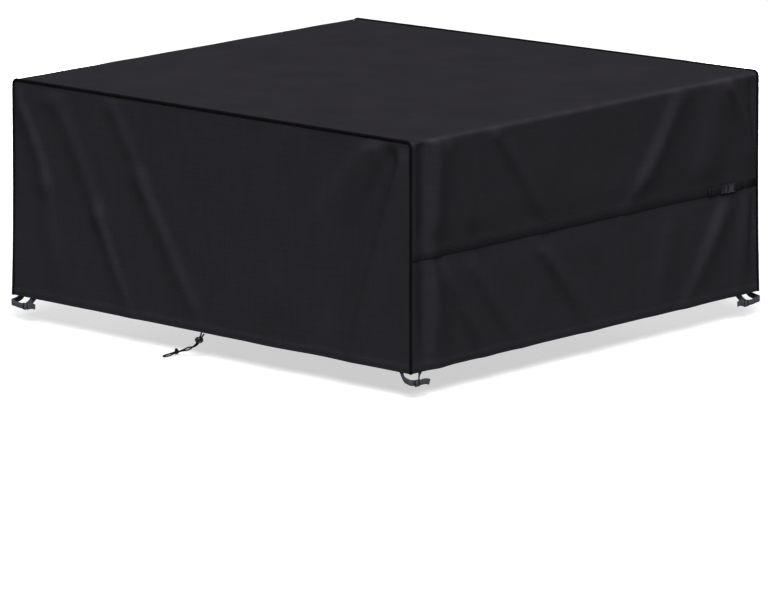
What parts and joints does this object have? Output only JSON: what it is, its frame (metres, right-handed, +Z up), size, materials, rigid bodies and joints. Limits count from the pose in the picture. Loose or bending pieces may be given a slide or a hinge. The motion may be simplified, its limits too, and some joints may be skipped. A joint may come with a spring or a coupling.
{
  "type": "patio furniture cover",
  "caption": "Fitted square cover for a patio table and chairs: a flat top and four hanging walls with piped seams, a buckled belt, corner leg straps and a hem drawstring.",
  "frame": {"origin": "middle of the top's underside, where the furniture holds the cover up", "axes": "+Z up, out of the top; +X out of the wall that carries the belt; +Y from the front end panel, whose hem has the drawstring, to the back end panel"},
  "size_m": [1.7618, 1.7664, 0.7918],
  "materials": {
    "coated_cloth": "black plain-woven polyester with a matt waterproof coating",
    "binding_tape": "black woven tape sewn round a cord",
    "belt_webbing": "black woven webbing with a faint sheen",
    "strap_webbing": "charcoal woven webbing",
    "braided_cord": "black round braid",
    "moulded_plastic": "black moulded plastic, fine-grained"
  },
  "bodies": {
    "root": {"main_panel": "coated_cloth", "end_panel_front": "coated_cloth", "end_panel_back": "coated_cloth", "piping_front": "binding_tape", "piping_back": "binding_tape", "belt_long": "belt_webbing", "belt_short": "belt_webbing", "belt_buckle_plug": "moulded_plastic", "belt_buckle_socket": "moulded_plastic", "strap_loop_front_left": "strap_webbing", "strap_tail_front_left": "strap_webbing", "strap_buckle_front_left": "moulded_plastic", "strap_loop_front_right": "strap_webbing", "strap_tail_front_right": "strap_webbing", "strap_buckle_front_right": "moulded_plastic", "strap_loop_back_right": "strap_webbing", "strap_tail_back_right": "strap_webbing", "strap_buckle_back_right": "moulded_plastic", "strap_loop_back_left": "strap_webbing", "strap_tail_back_left": "strap_webbing", "strap_buckle_back_left": "moulded_plastic", "drawstring": "braided_cord", "drawstring_knot": "braided_cord", "cord_lock": "moulded_plastic", "cord_lock_plunger": "moulded_plastic"}
  },
  "joints": []
}
